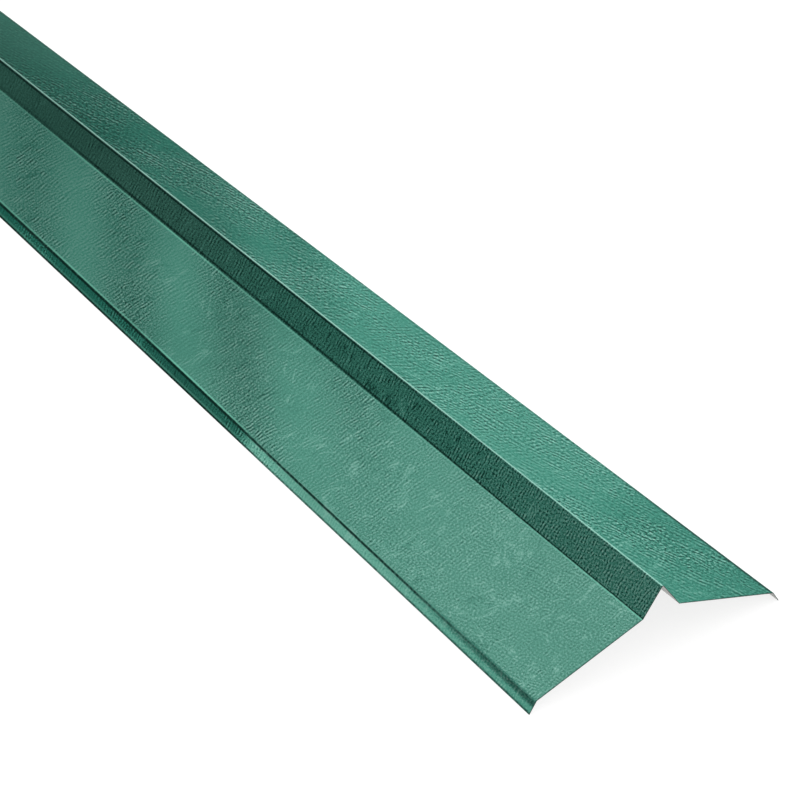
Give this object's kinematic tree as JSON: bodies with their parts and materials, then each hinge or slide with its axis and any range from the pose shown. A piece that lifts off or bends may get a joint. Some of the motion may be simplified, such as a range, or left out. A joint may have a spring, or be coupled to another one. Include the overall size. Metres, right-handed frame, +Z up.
{
  "type": "roof ridge cap",
  "caption": "Folded sheet steel ridge cap with a raised centre rib, two sloping flanges and a turned-down lip along each edge.",
  "frame": {"origin": "under the middle of the cap's length and width, at the level of the two lip edges that it stands on", "axes": "+X along the cap's length, +Y across it from lip to lip, +Z up through the ridge"},
  "size_m": [3.048, 0.256, 0.0703],
  "materials": {
    "painted_steel": "satin mid-green coil paint on galvanised steel, lightly wrinkled all over"
  },
  "bodies": {
    "root": {"ridge_cap": "painted_steel"}
  },
  "joints": []
}
